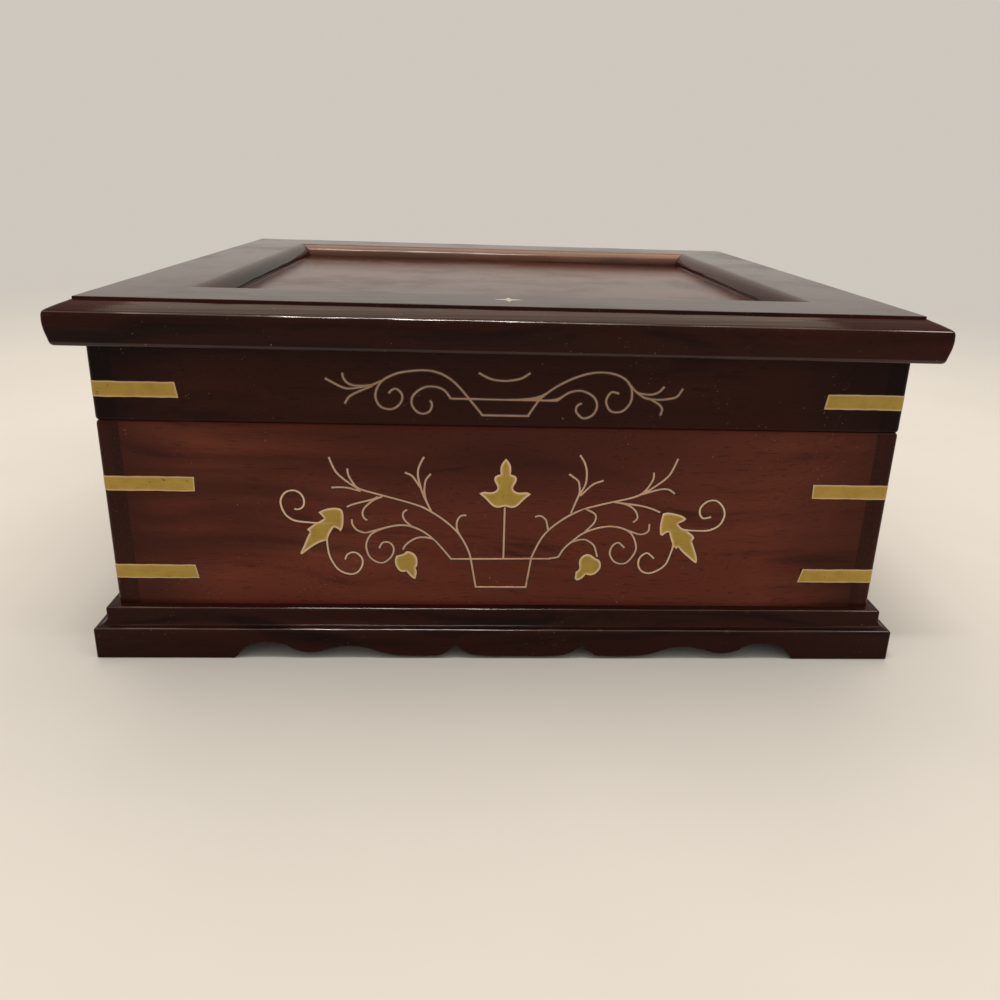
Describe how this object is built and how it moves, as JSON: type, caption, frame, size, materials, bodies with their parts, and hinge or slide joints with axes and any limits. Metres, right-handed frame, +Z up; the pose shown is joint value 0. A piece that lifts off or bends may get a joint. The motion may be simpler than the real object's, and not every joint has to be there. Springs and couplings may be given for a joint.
{
  "type": "jewelry chest",
  "caption": "Rectangular hardwood jewelry chest on a scalloped plinth, with a hinged framed lid, a sliding tray, brass corner straps and brass vine inlay.",
  "frame": {"origin": "middle of the plinth's underside, on the surface that the chest stands on", "axes": "+X to the right along the front, -Y out of the front face, +Z up"},
  "size_m": [0.304, 0.28, 0.1323],
  "materials": {
    "board_wood": "gloss varnish, red-brown rosewood with darker streaks",
    "dark_mouldings": "gloss varnish, dark red-brown",
    "panel_wood": "gloss varnish, red-brown",
    "inside_wood": "satin",
    "tray_wood": "satin",
    "velvet": "deep red velvet",
    "brass_straps": "dull lacquered brass, slightly worn",
    "brass_inlay": "dull brass, flush with the wood",
    "brass_hinges": "satin"
  },
  "bodies": {
    "base": {"base_front_board": "board_wood", "base_back_board": "board_wood", "base_left_board": "board_wood", "base_right_board": "board_wood", "base_bottom_board": "inside_wood", "base_floor_lining": "velvet", "tray_runner_left": "inside_wood", "tray_runner_right": "inside_wood", "plinth_front_rail": "dark_mouldings", "plinth_back_rail": "dark_mouldings", "plinth_left_rail": "dark_mouldings", "plinth_right_rail": "dark_mouldings", "base_lower_strap_front_left": "brass_straps", "base_lower_strap_front_right": "brass_straps", "base_lower_strap_back_left": "brass_straps", "base_lower_strap_back_right": "brass_straps", "base_upper_strap_front_left": "brass_straps", "base_upper_strap_front_right": "brass_straps", "base_upper_strap_back_left": "brass_straps", "base_upper_strap_back_right": "brass_straps", "hinge_left_base_leaf": "brass_hinges", "hinge_right_base_leaf": "brass_hinges", "hinge_left_pin": "brass_hinges", "hinge_right_pin": "brass_hinges", "inlay_vine_wire": "brass_inlay", "inlay_finial_leaf": "brass_inlay", "inlay_leaf_left": "brass_inlay", "inlay_leaf_right": "brass_inlay", "inlay_bud_left": "brass_inlay", "inlay_bud_right": "brass_inlay"},
    "lid": {"lid_front_board": "board_wood", "lid_back_board": "board_wood", "lid_left_board": "board_wood", "lid_right_board": "board_wood", "lid_frame_front_rail": "dark_mouldings", "lid_frame_back_rail": "dark_mouldings", "lid_frame_left_rail": "dark_mouldings", "lid_frame_right_rail": "dark_mouldings", "lid_panel": "panel_wood", "lid_lining": "velvet", "lid_strap_front_left": "brass_straps", "lid_strap_front_right": "brass_straps", "lid_strap_back_left": "brass_straps", "lid_strap_back_right": "brass_straps", "hinge_left_lid_leaf": "brass_hinges", "hinge_right_lid_leaf": "brass_hinges", "lid_inlay_scroll_wire": "brass_inlay", "lid_inlay_arc_wire": "brass_inlay", "lid_inlay_star": "brass_inlay"},
    "tray": {"tray_front_wall": "tray_wood", "tray_back_wall": "tray_wood", "tray_left_wall": "tray_wood", "tray_right_wall": "tray_wood", "tray_floor": "velvet", "tray_long_divider": "tray_wood", "tray_cross_divider_1": "tray_wood", "tray_cross_divider_2": "tray_wood"}
  },
  "joints": [
    {"name": "lid_hinge", "type": "hinge", "parent": "base", "child": "lid", "pos_m": [0, 0.1338, 0.0895], "axis": [-1, 0, 0], "range_deg": [0, 100]},
    {"name": "tray_slide", "type": "slide", "parent": "base", "child": "tray", "axis": [0, -1, 0], "range_m": [0, 0.128]}
  ]
}
